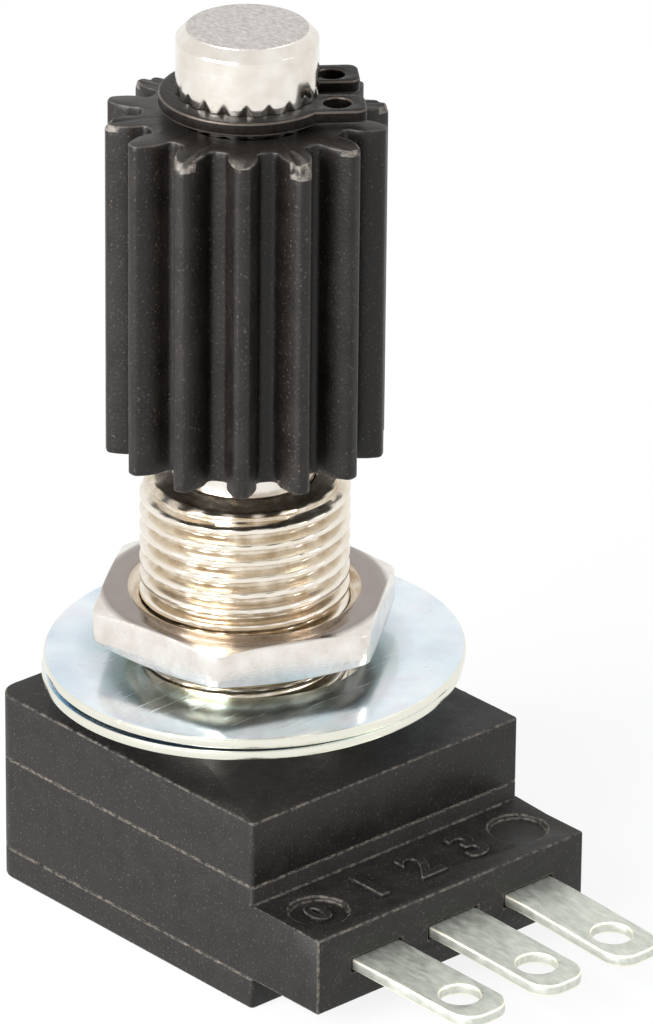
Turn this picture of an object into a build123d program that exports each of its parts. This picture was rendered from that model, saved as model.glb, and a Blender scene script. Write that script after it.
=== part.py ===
from build123d import *
from math import acos, cos, pi, radians, sin, sqrt, tan
import os

# Rotary potentiometer with a toothed pinion on its shaft.
# Millimetres. The origin is on the shaft axis, at the face of the bushing shoulder that
# bears on a panel. +Z runs up the shaft and the solder terminals point along -Y.

# ---- Fits ----
running_fit = 0.04          # radial gap of the shaft in the bushing
seat_fit = 0.02             # gap round pieces that are pressed, staked or glued in place
thread_fit = 0.05           # radial gap of the nut on the plain cylinder that stands for the thread
contact_gap = 0.05          # gap of the wiper tips above the tracks
side_play = 0.15            # gap in width and height round a terminal in its slot

# ---- Housing: cover, body and base stacked under the shoulder ----
housing_width = 16.1
axis_to_back = 8.05
axis_to_front = 9.7
cover_height = 3.2
body_height = 4.6
base_height = 1.5
back_corner_radius = 1.1
front_corner_radius = 0.2
block_reach = 4.4           # terminal block, out from the front face
block_height = 3.7
block_mark_diameter = 2.7
block_mark_depth = 0.25
block_mark_spacing = 12.1

# ---- Hollow inside the housing ----
cover_roof = 1.4
cavity_radius = 6.9
bay_width = 13.4
bay_front_wall = 1.4
stop_block_inner_radius = 5.8
stop_block_angle = 32.0
stop_block_drop = 1.15
base_pad_radius = 5.0
base_pad_height = 0.7

# ---- Bushing ----
thread_radius = 4.7625      # 3/8 in thread
bushing_length = 9.85
bushing_rim_radius = 4.2
bushing_chamfer_height = 0.45
bushing_crown = 0.2         # rise of the end face towards the bore
shoulder_radius = 6.0
shoulder_height = 1.4
spigot_radius = 5.0
staked_lip_radius = 5.6
staked_lip_height = 0.4

# ---- Washers and nut ----
washer_outer_radius = 9.6
washer_bore_radius = 5.35
washer_thickness = 0.48
washer_rise_turn = 322.0    # direction towards which the loose washers ride up
lower_washer_shift = (0.3, -0.25)
lower_washer_tilt = 2.0
upper_washer_shift = (0.3, -0.38)
upper_washer_tilt = 1.3
nut_across_flats = 12.7
nut_thickness = 2.0
nut_lift = 1.0              # the nut stands this far up the thread from the middle of the washers
nut_turn = 38.2
nut_chamfer_angle = 15.0
nut_countersink = 0.5

# ---- Shaft ----
shaft_radius = 3.175        # 1/4 in
shaft_top = 31.5
shaft_chamfer = 0.5
knurl_count = 20
knurl_turn = 11.8           # angle of one knurl groove from +X
knurl_depth = 0.24
knurl_show = 0.55           # knurl that shows above the retaining ring
drive_radius = 2.4          # double-D end that turns the rotor
drive_flat = 1.9
drive_shoulder = 0.06       # full round left between the clip groove and the double-D end

# ---- Pinion and its retaining ring ----
tooth_count = 14            # 32 diametral pitch: 1/2 in over the tips
pinion_tip_radius = 6.35
pinion_root_radius = 4.65
pressure_angle = 20.0
root_fillet = 0.3
flank_steps = 4             # stretches of each flank's spline
pinion_length = 15.875
pinion_bottom = 11.52
pinion_turn = 21.0          # angle of one tooth from +X
ring_gap = 0.45             # ring above the pinion
ring_thickness = 0.65
ring_outer_radius = 3.92
ring_groove_radius = 2.87
ring_turn = 322.8           # direction in which the two lugs point
lug_reach = 5.1
lug_inner_edge = 0.76
lug_outer_edge = 2.75
lug_corner_radius = 0.5
lug_hole_reach = 3.84
lug_hole_offset = 1.69
lug_hole_radius = 0.63

# ---- Shaft clip and thrust washer under the bushing ----
thrust_washer_radius = 5.0
thrust_washer_thickness = 0.3
clip_outer_radius = 4.4
clip_groove_radius = 2.65
clip_thickness = 0.35
clip_mouth = 3.6

# ---- Rotor and wiper ----
rotor_radius = 6.2
rotor_thickness = 1.5
rotor_gap = 0.2             # rotor under the shaft clip
stop_lug_inner_radius = 5.3
stop_lug_angle = 24.0
stop_lug_height = 0.8
wiper_radius = 5.8
wiper_thickness = 0.2
wiper_arm_width = 0.8
wiper_arm_length = 2.6
stake_radius = 0.45
stake_reach = 4.1

# ---- Element board, tracks, eyelets ----
board_thickness = 0.8
board_fit = 0.2
film_thickness = 0.05
track_radius = 5.2
track_width = 1.0
track_gap_angle = 64.0
collector_radius = 3.1
collector_width = 0.9
lead_width = 0.8
locating_pin_radius = 1.0
eyelet_reach = 7.25         # eyelets, out from the axis
eyelet_radius = 0.55
eyelet_bore_radius = 0.35
eyelet_head_radius = 0.95
eyelet_head_height = 0.15

# ---- Terminals ----
terminal_names = ("terminal_1", "terminal_2", "terminal_3")
terminal_pitch = 4.62
terminal_offset = 0.1       # the row of terminals from the middle of the housing
terminal_width = 2.85
terminal_thickness = 0.57
terminal_reach = 7.45       # out from the terminal block
terminal_straight = 1.2     # part of that reach before the blade droops
terminal_droops = (0.3, 1.5, 3.0)
terminal_hole_radius = 0.925
terminal_hole_from_tip = 2.05
terminal_tip_radius = 1.1
terminal_below_seam = 2.52  # terminal's upper face under the seam of cover and body
terminal_inner_end = 6.1    # inner end, out from the axis

# ---- Levels worked out from the sizes above ----
cover_top = -shoulder_height
cover_bottom = cover_top - cover_height
roof_underside = cover_top - cover_roof
body_bottom = cover_bottom - body_height
base_bottom = body_bottom - base_height
block_front = -(axis_to_front + block_reach)
block_top = body_bottom + block_height
lip_bottom = roof_underside - staked_lip_height
lower_washer_level = shoulder_radius * sin(radians(lower_washer_tilt)) + seat_fit
upper_washer_level = (lower_washer_level + washer_thickness + seat_fit
                      + washer_outer_radius * sin(radians(lower_washer_tilt))
                      - washer_outer_radius * sin(radians(upper_washer_tilt)))
nut_bottom = upper_washer_level + washer_thickness + nut_lift
pinion_top = pinion_bottom + pinion_length
ring_bottom = pinion_top + ring_gap
ring_top = ring_bottom + ring_thickness
knurl_top = ring_top + knurl_show
thrust_washer_bottom = lip_bottom - seat_fit - thrust_washer_thickness
clip_bottom = thrust_washer_bottom - seat_fit - clip_thickness
terminal_top = cover_bottom - terminal_below_seam
terminal_bottom = terminal_top - terminal_thickness
board_top = terminal_top + board_thickness
film_top = board_top + film_thickness
rotor_top = clip_bottom - rotor_gap
rotor_bottom = rotor_top - rotor_thickness
wiper_bottom = rotor_bottom - wiper_thickness
arm_drop = wiper_bottom - film_top - contact_gap
bay_front = -(axis_to_front - bay_front_wall)
terminal_places = [terminal_offset + n * terminal_pitch for n in (-1, 0, 1)]
eyelet_places = [(place, -eyelet_reach) for place in terminal_places]
stake_places = [(-stake_reach, 0), (stake_reach, 0)]


def ring_sector(inner, outer, middle, spread):
    """Part of a flat ring between two radii, spread degrees wide about the angle middle."""
    start = middle - spread / 2
    with BuildSketch() as sector:
        with BuildLine():
            outside = CenterArc((0, 0), outer, start, spread)
            inside = CenterArc((0, 0), inner, start, spread)
            Line(outside @ 0, inside @ 0)
            Line(outside @ 1, inside @ 1)
        make_face()
    return sector.sketch


def double_d(radius, flat):
    """Round section with two flats, as on the end of the shaft that drives the rotor."""
    with BuildSketch() as section:
        Circle(radius)
        Rectangle(2 * flat, 2 * radius, mode=Mode.INTERSECT)
    return section.sketch


# ---- Plan of the stacked housing pieces: round corners at the back, square ones in front ----
with BuildSketch() as housing_plan:
    with Locations((0, -axis_to_front)):
        Rectangle(housing_width, axis_to_front + axis_to_back, align=(Align.CENTER, Align.MIN))
    back_corners = housing_plan.vertices().group_by(Axis.Y)[-1]
    fillet(back_corners, radius=back_corner_radius)
    front_corners = housing_plan.vertices().group_by(Axis.Y)[0]
    fillet(front_corners, radius=front_corner_radius)

# ---- Housing ----
with BuildPart() as housing_cover:
    with BuildSketch(Plane.XY.offset(cover_bottom)):
        add(housing_plan.sketch)
    extrude(amount=cover_height)
    with BuildSketch(Plane.XY.offset(cover_bottom)):
        Circle(cavity_radius)
    extrude(amount=cover_height - cover_roof, mode=Mode.SUBTRACT)
    with BuildSketch(Plane.XY.offset(roof_underside)):
        add(ring_sector(stop_block_inner_radius, cavity_radius, -90, stop_block_angle))
    extrude(amount=-stop_block_drop)
    with BuildSketch(Plane.XY.offset(cover_top)):
        Circle(spigot_radius + seat_fit)
    extrude(amount=-cover_roof, mode=Mode.SUBTRACT)

with BuildPart() as housing_body:
    with BuildSketch(Plane.XY.offset(body_bottom)):
        add(housing_plan.sketch)
    extrude(amount=body_height)
    with BuildSketch(Plane.XY.offset(body_bottom)):
        with Locations((0, -axis_to_front - block_reach / 2 + front_corner_radius)):
            Rectangle(housing_width, block_reach + 2 * front_corner_radius)
    extrude(amount=block_height)
    with BuildSketch(Plane.XY.offset(cover_bottom)):
        Circle(cavity_radius)
        with Locations((0, bay_front)):
            Rectangle(bay_width, -bay_front, align=(Align.CENTER, Align.MIN))
    extrude(amount=terminal_top - cover_bottom, mode=Mode.SUBTRACT)
    with BuildSketch(Plane.XZ.offset(-block_front)):
        with Locations((terminal_offset, (terminal_top + terminal_bottom) / 2)):
            with GridLocations(terminal_pitch, 0, 3, 1):
                Rectangle(terminal_width + side_play, terminal_thickness + side_play)
    extrude(amount=block_front + terminal_inner_end - side_play, mode=Mode.SUBTRACT)
    with BuildSketch(Plane.XY.offset(terminal_bottom)):
        with Locations(*eyelet_places):
            Circle(eyelet_head_radius + side_play)
    extrude(amount=-(eyelet_head_height + side_play), mode=Mode.SUBTRACT)
    with BuildSketch(Plane.XY.offset(terminal_top)):
        Circle(locating_pin_radius)
    extrude(amount=board_thickness)
    with BuildSketch(Plane.XY.offset(body_bottom)):
        Circle(base_pad_radius + seat_fit)
    extrude(amount=base_pad_height + seat_fit, mode=Mode.SUBTRACT)
    with BuildSketch(Plane.XY.offset(block_top)):
        with Locations((0, -axis_to_front - block_reach / 2)):
            with GridLocations(block_mark_spacing, 0, 2, 1):
                Circle(block_mark_diameter / 2)
    extrude(amount=-block_mark_depth, mode=Mode.SUBTRACT)

with BuildPart() as rear_cover:
    with BuildSketch(Plane.XY.offset(base_bottom)):
        add(housing_plan.sketch)
    extrude(amount=base_height)
    with BuildSketch(Plane.XY.offset(body_bottom)):
        Circle(base_pad_radius)
    extrude(amount=base_pad_height)

# ---- Bushing: threaded sleeve, shoulder, spigot and the lip that is staked under the roof ----
bushing_bore = shaft_radius + running_fit
with BuildPart() as bushing:
    with BuildSketch(Plane.XZ):
        with BuildLine():
            Polyline(
                (bushing_bore, lip_bottom),
                (staked_lip_radius, lip_bottom),
                (staked_lip_radius, roof_underside),
                (spigot_radius, roof_underside),
                (spigot_radius, cover_top),
                (shoulder_radius, cover_top),
                (shoulder_radius, 0),
                (thread_radius, 0),
                (thread_radius, bushing_length - bushing_chamfer_height),
                (bushing_rim_radius, bushing_length),
                (bushing_bore, bushing_length + bushing_crown),
                close=True,
            )
        make_face()
    revolve(axis=Axis.Z)

# ---- Two flat washers, loose on the shoulder: each off centre and tilted a little ----
def washer_plane(shift, level, tilt):
    """Plane of a washer's underside, rising towards the side that rides up."""
    lean = sin(radians(tilt))
    turn = radians(washer_rise_turn)
    upright = (-lean * cos(turn), -lean * sin(turn), cos(radians(tilt)))
    return Plane(origin=(*shift, level), z_dir=upright)


with BuildPart() as lower_washer:
    with BuildSketch(washer_plane(lower_washer_shift, lower_washer_level, lower_washer_tilt)):
        Circle(washer_outer_radius)
        Circle(washer_bore_radius, mode=Mode.SUBTRACT)
    extrude(amount=washer_thickness)

with BuildPart() as upper_washer:
    with BuildSketch(washer_plane(upper_washer_shift, upper_washer_level, upper_washer_tilt)):
        Circle(washer_outer_radius)
        Circle(washer_bore_radius, mode=Mode.SUBTRACT)
    extrude(amount=washer_thickness)

# ---- Hex nut, corners chamfered on both faces, countersunk round the thread ----
nut_bore = thread_radius + thread_fit
nut_corner_radius = nut_across_flats / sqrt(3)
nut_corner_drop = (nut_corner_radius - nut_across_flats / 2) * tan(radians(nut_chamfer_angle))
with BuildPart() as hex_nut:
    with BuildSketch(Plane.XY.offset(nut_bottom)):
        RegularPolygon(nut_corner_radius, side_count=6, rotation=nut_turn)
    extrude(amount=nut_thickness)
    with BuildSketch(Plane.XZ):
        with BuildLine():
            Polyline(
                (0, nut_bottom),
                (nut_across_flats / 2, nut_bottom),
                (nut_corner_radius, nut_bottom + nut_corner_drop),
                (nut_corner_radius, nut_bottom + nut_thickness - nut_corner_drop),
                (nut_across_flats / 2, nut_bottom + nut_thickness),
                (0, nut_bottom + nut_thickness),
                close=True,
            )
        make_face()
    revolve(axis=Axis.Z, mode=Mode.INTERSECT)
    Hole(nut_bore)
    bore_rims = hex_nut.edges().filter_by(GeomType.CIRCLE).filter_by(
        lambda rim: abs(rim.radius - nut_bore) < thread_fit / 2)
    chamfer(bore_rims, length=nut_countersink)

# ---- Shaft: head, ring groove, knurl under the pinion, clip groove and double-D end ----
clip_groove_bottom = clip_bottom - seat_fit
with BuildPart() as shaft:
    with BuildSketch(Plane.XZ):
        with BuildLine():
            Polyline(
                (0, clip_groove_bottom - drive_shoulder),
                (shaft_radius, clip_groove_bottom - drive_shoulder),
                (shaft_radius, clip_groove_bottom),
                (clip_groove_radius, clip_groove_bottom),
                (clip_groove_radius, thrust_washer_bottom),
                (shaft_radius, thrust_washer_bottom),
                (shaft_radius, ring_bottom - seat_fit),
                (ring_groove_radius, ring_bottom - seat_fit),
                (ring_groove_radius, ring_top + seat_fit),
                (shaft_radius, ring_top + seat_fit),
                (shaft_radius, shaft_top - shaft_chamfer),
                (shaft_radius - shaft_chamfer, shaft_top),
                (0, shaft_top),
                close=True,
            )
        make_face()
    revolve(axis=Axis.Z)
    with BuildSketch(Plane.XY.offset(pinion_bottom)):
        with PolarLocations(shaft_radius, knurl_count, start_angle=knurl_turn):
            RegularPolygon(knurl_depth * 2, side_count=4, major_radius=True)
        Circle(shaft_radius - knurl_depth, mode=Mode.SUBTRACT)
    extrude(amount=knurl_top - pinion_bottom, mode=Mode.SUBTRACT)
    with BuildSketch(Plane.XY.offset(clip_groove_bottom)):
        add(double_d(drive_radius, drive_flat))
    extrude(amount=rotor_bottom - clip_groove_bottom)

# ---- Pinion: involute teeth on a plain bore pressed over the knurl ----
pitch_radius = pinion_tip_radius * tooth_count / (tooth_count + 2)
base_radius = pitch_radius * cos(radians(pressure_angle))


def involute(radius):
    """Angle in radians by which an involute has turned from its start when it reaches a radius."""
    angle = acos(min(base_radius / radius, 1))
    return tan(angle) - angle


def flank_point(radius, side):
    """Point at a radius on the flank of a tooth that is centred on +X."""
    half = pi / (2 * tooth_count) + involute(pitch_radius) - involute(radius)
    return (radius * cos(half), side * radius * sin(half))


flank_step = (pinion_tip_radius - base_radius) / flank_steps
flank_radii = [base_radius + n * flank_step for n in range(flank_steps + 1)]
with BuildSketch() as tooth:
    with BuildLine():
        right = Spline(*[flank_point(r, -1) for r in flank_radii])
        left = Spline(*[flank_point(r, 1) for r in flank_radii])
        ThreePointArc(right @ 1, (pinion_tip_radius, 0), left @ 1)
        Polyline(left @ 0, (0, (left @ 0).Y), (0, (right @ 0).Y), right @ 0)
    make_face()

with BuildPart() as pinion_gear:
    with BuildSketch(Plane.XY.offset(pinion_bottom)) as pinion_section:
        Circle(pinion_root_radius)
        with PolarLocations(0, tooth_count, start_angle=pinion_turn):
            add(tooth.sketch)
        root_corners = pinion_section.vertices().filter_by(
            lambda v: abs(v.X ** 2 + v.Y ** 2 - pinion_root_radius ** 2) < root_fillet)
        fillet(root_corners, radius=root_fillet)
        Circle(shaft_radius + seat_fit, mode=Mode.SUBTRACT)
    extrude(amount=pinion_length)

# ---- External retaining ring with two drilled lugs ----
with BuildPart() as retaining_ring:
    with BuildSketch(Plane.XY.offset(ring_bottom).rotated((0, 0, ring_turn))) as ring_plan:
        lug_width = lug_outer_edge - lug_inner_edge
        lug_middle = (lug_outer_edge + lug_inner_edge) / 2
        with Locations((lug_reach, lug_middle), (lug_reach, -lug_middle)):
            Rectangle(lug_reach - ring_groove_radius, lug_width, align=(Align.MAX, Align.CENTER))
        fillet(ring_plan.vertices().group_by(Axis.X)[-1], radius=lug_corner_radius)
        Circle(ring_outer_radius)
        Circle(ring_groove_radius + seat_fit, mode=Mode.SUBTRACT)
        Rectangle(lug_reach, 2 * lug_inner_edge, align=(Align.MIN, Align.CENTER), mode=Mode.SUBTRACT)
        with Locations((lug_hole_reach, lug_hole_offset), (lug_hole_reach, -lug_hole_offset)):
            Circle(lug_hole_radius, mode=Mode.SUBTRACT)
    extrude(amount=ring_thickness)

# ---- Thrust washer and the clip that keeps the shaft from pulling out ----
with BuildPart() as thrust_washer:
    with BuildSketch(Plane.XY.offset(thrust_washer_bottom)):
        Circle(thrust_washer_radius)
        Circle(shaft_radius + running_fit, mode=Mode.SUBTRACT)
    extrude(amount=thrust_washer_thickness)

with BuildPart() as shaft_clip:
    with BuildSketch(Plane.XY.offset(clip_bottom)):
        Circle(clip_outer_radius)
        Circle(clip_groove_radius + seat_fit, mode=Mode.SUBTRACT)
        Rectangle(clip_mouth, clip_outer_radius, align=(Align.CENTER, Align.MIN), mode=Mode.SUBTRACT)
    extrude(amount=clip_thickness)

# ---- Rotor: disc on the double-D end, with a stop lug above and two wiper stakes below ----
with BuildPart() as rotor:
    with BuildSketch(Plane.XY.offset(rotor_bottom)):
        Circle(rotor_radius)
    extrude(amount=rotor_thickness)
    with BuildSketch(Plane.XY.offset(rotor_top)):
        add(ring_sector(stop_lug_inner_radius, rotor_radius, 90, stop_lug_angle))
    extrude(amount=stop_lug_height)
    with BuildSketch(Plane.XY.offset(rotor_bottom)):
        with Locations(*stake_places):
            Circle(stake_radius)
    extrude(amount=-wiper_thickness)
    with BuildSketch(Plane.XY.offset(rotor_bottom)):
        add(double_d(drive_radius + seat_fit, drive_flat + seat_fit))
    extrude(amount=rotor_thickness, mode=Mode.SUBTRACT)

# ---- Wiper: sprung ring with one arm down to each track, each under its own window ----
with BuildPart() as wiper:
    with BuildSketch(Plane.XY.offset(wiper_bottom)):
        Circle(wiper_radius)
        Circle(drive_radius, mode=Mode.SUBTRACT)
        with Locations(*stake_places):
            Circle(stake_radius + seat_fit, mode=Mode.SUBTRACT)
        for arm_radius in (track_radius, collector_radius):
            with Locations((0, arm_radius)):
                Rectangle(wiper_arm_length, wiper_arm_width, align=(Align.MAX, Align.CENTER),
                          mode=Mode.SUBTRACT)
    extrude(amount=wiper_thickness)
    for arm_radius in (track_radius, collector_radius):
        with BuildSketch(Plane.XZ.offset(-arm_radius)):
            with BuildLine():
                Polyline(
                    (wiper_thickness, wiper_bottom),
                    (wiper_thickness, wiper_bottom + wiper_thickness),
                    (0, wiper_bottom + wiper_thickness),
                    (-wiper_arm_length, wiper_bottom - arm_drop + wiper_thickness),
                    (-wiper_arm_length, wiper_bottom - arm_drop),
                    close=True,
                )
            make_face()
        extrude(amount=wiper_arm_width / 2, both=True)

# ---- Element board with its two films ----
with BuildPart() as element_board:
    with BuildSketch(Plane.XY.offset(terminal_top)):
        Circle(cavity_radius - board_fit)
        with Locations((0, bay_front + board_fit)):
            Rectangle(bay_width - 2 * board_fit, -bay_front - board_fit,
                      align=(Align.CENTER, Align.MIN))
        Circle(locating_pin_radius + seat_fit, mode=Mode.SUBTRACT)
        with Locations(*eyelet_places):
            Circle(eyelet_radius + seat_fit, mode=Mode.SUBTRACT)
    extrude(amount=board_thickness)

track_half_gap = radians(track_gap_angle / 2)
track_end_x = track_radius * sin(track_half_gap)
track_end_y = -track_radius * cos(track_half_gap)
with BuildPart() as resistive_track:
    with BuildSketch(Plane.XY.offset(board_top)):
        add(ring_sector(track_radius - track_width / 2, track_radius + track_width / 2, 90,
                        360 - track_gap_angle))
        for side, (pad_x, pad_y) in ((-1, eyelet_places[0]), (1, eyelet_places[-1])):
            with BuildLine():
                Polyline(
                    (side * track_end_x, track_end_y + track_width / 2),
                    (side * track_end_x, track_end_y),
                    (pad_x - side * eyelet_head_radius, pad_y - eyelet_head_radius),
                    (pad_x + side * eyelet_head_radius, pad_y - eyelet_head_radius),
                    (side * (track_end_x + track_width), track_end_y + track_width / 2),
                    close=True,
                )
            make_face()
        with Locations(*eyelet_places):
            Circle(eyelet_radius + seat_fit, mode=Mode.SUBTRACT)
    extrude(amount=film_thickness)

with BuildPart() as collector_ring:
    with BuildSketch(Plane.XY.offset(board_top)):
        Circle(collector_radius + collector_width / 2)
        with Locations((terminal_offset, -collector_radius)):
            Rectangle(lead_width, eyelet_reach - collector_radius, align=(Align.CENTER, Align.MAX))
        with Locations(eyelet_places[1]):
            Circle(eyelet_head_radius)
            Circle(eyelet_radius + seat_fit, mode=Mode.SUBTRACT)
        Circle(collector_radius - collector_width / 2, mode=Mode.SUBTRACT)
    extrude(amount=film_thickness)

# ---- Three hollow eyelets that clamp the films, the board and the terminals together ----
with BuildPart() as terminal_eyelets:
    with BuildSketch(Plane.XY.offset(terminal_bottom)):
        with Locations(*eyelet_places):
            Circle(eyelet_radius)
    extrude(amount=film_top - terminal_bottom)
    for head_plane in (Plane.XY.offset(film_top), Plane.XY.offset(terminal_bottom - eyelet_head_height)):
        with BuildSketch(head_plane):
            with Locations(*eyelet_places):
                Circle(eyelet_head_radius)
        extrude(amount=eyelet_head_height)
    with BuildSketch(Plane.XY.offset(terminal_bottom - eyelet_head_height)):
        with Locations(*eyelet_places):
            Circle(eyelet_bore_radius)
    extrude(amount=film_top - terminal_bottom + 2 * eyelet_head_height, mode=Mode.SUBTRACT)

# ---- Solder terminals: blade out through the block, drooping a little beyond its bend ----
blade_tip = block_front - terminal_reach
bend_place = block_front - terminal_straight
hole_place = blade_tip + terminal_hole_from_tip
terminals = []
for place, droop in zip(terminal_places, terminal_droops):
    with BuildPart() as terminal:
        fall = (bend_place - blade_tip) * tan(radians(droop))
        with BuildSketch(Plane.YZ.offset(place)):
            with BuildLine():
                Polyline(
                    (-terminal_inner_end, terminal_top),
                    (bend_place, terminal_top),
                    (blade_tip, terminal_top - fall),
                    (blade_tip, terminal_bottom - fall),
                    (bend_place, terminal_bottom),
                    (-terminal_inner_end, terminal_bottom),
                    close=True,
                )
            make_face()
        extrude(amount=terminal_width / 2, both=True)
        with BuildSketch(Plane.XY.offset(terminal_bottom - terminal_reach)) as blade_plan:
            with Locations((place, blade_tip)):
                Rectangle(terminal_width, -terminal_inner_end - blade_tip,
                          align=(Align.CENTER, Align.MIN))
            fillet(blade_plan.vertices().group_by(Axis.Y)[0], radius=terminal_tip_radius)
            with Locations((place, hole_place)):
                Circle(terminal_hole_radius, mode=Mode.SUBTRACT)
            with Locations((place, -eyelet_reach)):
                Circle(eyelet_radius + seat_fit, mode=Mode.SUBTRACT)
        extrude(amount=2 * terminal_reach, mode=Mode.INTERSECT)
    terminals.append(terminal)

# ---- Labels and files ----
pieces = {
    "housing_cover": housing_cover,
    "housing_body": housing_body,
    "rear_cover": rear_cover,
    "bushing": bushing,
    "lower_washer": lower_washer,
    "upper_washer": upper_washer,
    "hex_nut": hex_nut,
    "shaft": shaft,
    "pinion_gear": pinion_gear,
    "retaining_ring": retaining_ring,
    "thrust_washer": thrust_washer,
    "shaft_clip": shaft_clip,
    "rotor": rotor,
    "wiper": wiper,
    "element_board": element_board,
    "resistive_track": resistive_track,
    "collector_ring": collector_ring,
    "terminal_eyelets": terminal_eyelets,
}
pieces.update(zip(terminal_names, terminals))

os.makedirs("parts", exist_ok=True)
for name, piece in pieces.items():
    piece.part.label = name
    export_step(piece.part, f"parts/{name}.step")
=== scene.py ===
import math

import bmesh
import bpy
import numpy
from mathutils import Matrix, Vector, noise


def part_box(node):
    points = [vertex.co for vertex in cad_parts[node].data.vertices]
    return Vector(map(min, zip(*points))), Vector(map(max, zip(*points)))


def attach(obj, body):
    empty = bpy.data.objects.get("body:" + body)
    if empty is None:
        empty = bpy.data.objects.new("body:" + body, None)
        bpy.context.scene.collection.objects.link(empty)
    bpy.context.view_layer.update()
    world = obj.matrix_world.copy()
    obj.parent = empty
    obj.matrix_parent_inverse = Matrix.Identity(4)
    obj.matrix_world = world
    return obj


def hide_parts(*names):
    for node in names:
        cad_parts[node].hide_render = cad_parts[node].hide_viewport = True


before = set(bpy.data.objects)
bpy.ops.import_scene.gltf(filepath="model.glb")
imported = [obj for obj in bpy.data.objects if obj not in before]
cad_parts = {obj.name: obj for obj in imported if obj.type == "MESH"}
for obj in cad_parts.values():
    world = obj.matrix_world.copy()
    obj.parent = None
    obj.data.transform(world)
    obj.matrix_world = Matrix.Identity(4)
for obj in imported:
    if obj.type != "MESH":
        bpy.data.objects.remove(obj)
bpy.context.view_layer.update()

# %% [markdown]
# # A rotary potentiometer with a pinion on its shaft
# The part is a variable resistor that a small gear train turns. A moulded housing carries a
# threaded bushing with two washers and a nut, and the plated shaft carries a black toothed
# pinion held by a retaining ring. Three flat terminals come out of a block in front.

mm = 0.001
turn = 2 * math.pi
HOUSING, SPINDLE = "housing", "shaft_assembly"

# %% [markdown]
# ## Small helpers
# Colours are written as sRGB hex, as a paint chart gives them, and one function turns them
# into the linear values that a shader wants. One more function adds a node with its settings
# and its links, for material trees and geometry trees alike.

# %% Colour and node helpers
def linear(text):
    """Linear colour with alpha from an sRGB hex value."""
    parts = [int(text[n:n + 2], 16) / 255 for n in (1, 3, 5)]
    return (*[p / 12.92 if p <= 0.04045 else ((p + 0.055) / 1.055) ** 2.4 for p in parts], 1.0)


def add(tree, kind, inputs=None, **settings):
    """A node in a tree: settings are its properties, inputs are values or sockets to link."""
    node = tree.nodes.new(kind)
    for name, value in settings.items():
        setattr(node, name, value)
    for socket, value in (inputs or {}).items():
        if isinstance(value, bpy.types.NodeSocket):
            tree.links.new(value, node.inputs[socket])
        else:
            node.inputs[socket].default_value = value
    return node


# %% [markdown]
# ## How a finish is put together
# Each finish is a base colour under a few coats. Masks say where a coat lies: in irregular
# patches, above a level, near the shaft axis, or on faces that the mesh itself marks. Last
# comes how the surface was worked, which is its roughness and a fine relief.

# %% A new finish and its masks
noise_spread = 0.46  # how much of 0..1 the noise really covers


def new_finish(name, **shader_values):
    """A material with its shader, and the place on the piece that its patterns read."""
    material = bpy.data.materials.new(name)
    material.use_nodes = True
    tree = material.node_tree
    tree.nodes.clear()
    shader = add(tree, "ShaderNodeBsdfPrincipled",
                 {key.replace("_", " "): value for key, value in shader_values.items()})
    add(tree, "ShaderNodeOutputMaterial", {"Surface": shader.outputs[0]})
    return material, tree, shader, add(tree, "ShaderNodeTexCoord").outputs["Object"]


def patches(tree, place, size, share, soft=0.06, detail=3.0, stretch=(1, 1, 1)):
    """Mask that is 1 on a share of the surface, in irregular patches of a size in metres."""
    spot = add(tree, "ShaderNodeMapping", {"Vector": place, "Scale": stretch}).outputs[0]
    cloud = add(tree, "ShaderNodeTexNoise", {"Vector": spot, "Scale": 1 / size, "Detail": detail})
    middle = 0.5 + (0.5 - share) * noise_spread
    return add(tree, "ShaderNodeMapRange", {
        "Value": cloud.outputs["Fac"], "From Min": middle - soft, "From Max": middle + soft,
    }).outputs["Result"]


def from_axis(tree, place):
    """Distance of the place from the shaft axis."""
    flat = add(tree, "ShaderNodeVectorMath", {0: place, 1: (1, 1, 0)}, operation="MULTIPLY")
    return add(tree, "ShaderNodeVectorMath", {0: flat.outputs[0]}, operation="LENGTH").outputs[1]


def near_axis(tree, place, radius, fade):
    """Mask that is 1 within a radius of the shaft axis and fades to 0 over a distance."""
    return add(tree, "ShaderNodeMapRange", {
        "Value": from_axis(tree, place), "From Min": radius + fade, "From Max": radius,
    }).outputs["Result"]


def above(tree, place, level, rise):
    """Mask that is 0 at a level and 1 after a rise, or after a fall if that is negative."""
    height = add(tree, "ShaderNodeSeparateXYZ", {0: place}).outputs["Z"]
    return add(tree, "ShaderNodeMapRange", {
        "Value": height, "From Min": level, "From Max": level + rise}).outputs["Result"]


# %% Coats and working
def coated(tree, shader, base, coats):
    """Base colour under coats of (masks, strength, colour), each laid over those before."""
    colour = linear(base)
    for masks, strength, coat in coats:
        amount = strength
        for mask in masks:
            if isinstance(mask, str):  # the name of a mask that the mesh carries
                mask = add(tree, "ShaderNodeAttribute", attribute_name=mask).outputs["Fac"]
            amount = add(tree, "ShaderNodeMath", {0: mask, 1: amount},
                         operation="MULTIPLY").outputs[0]
        colour = add(tree, "ShaderNodeMix", {0: amount, 6: colour, 7: linear(coat)},
                     data_type="RGBA").outputs[2]
    tree.links.new(colour, shader.inputs["Base Color"])


def worked(tree, shader, mask, smooth, rough, height, depth, strength):
    """Roughness from smooth to rough over a mask, and a relief of a depth in metres."""
    gloss = add(tree, "ShaderNodeMapRange", {"Value": mask, "To Min": smooth, "To Max": rough})
    tree.links.new(gloss.outputs["Result"], shader.inputs["Roughness"])
    bump = add(tree, "ShaderNodeBump", {"Height": height, "Distance": depth, "Strength": strength})
    tree.links.new(bump.outputs[0], shader.inputs["Normal"])


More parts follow.
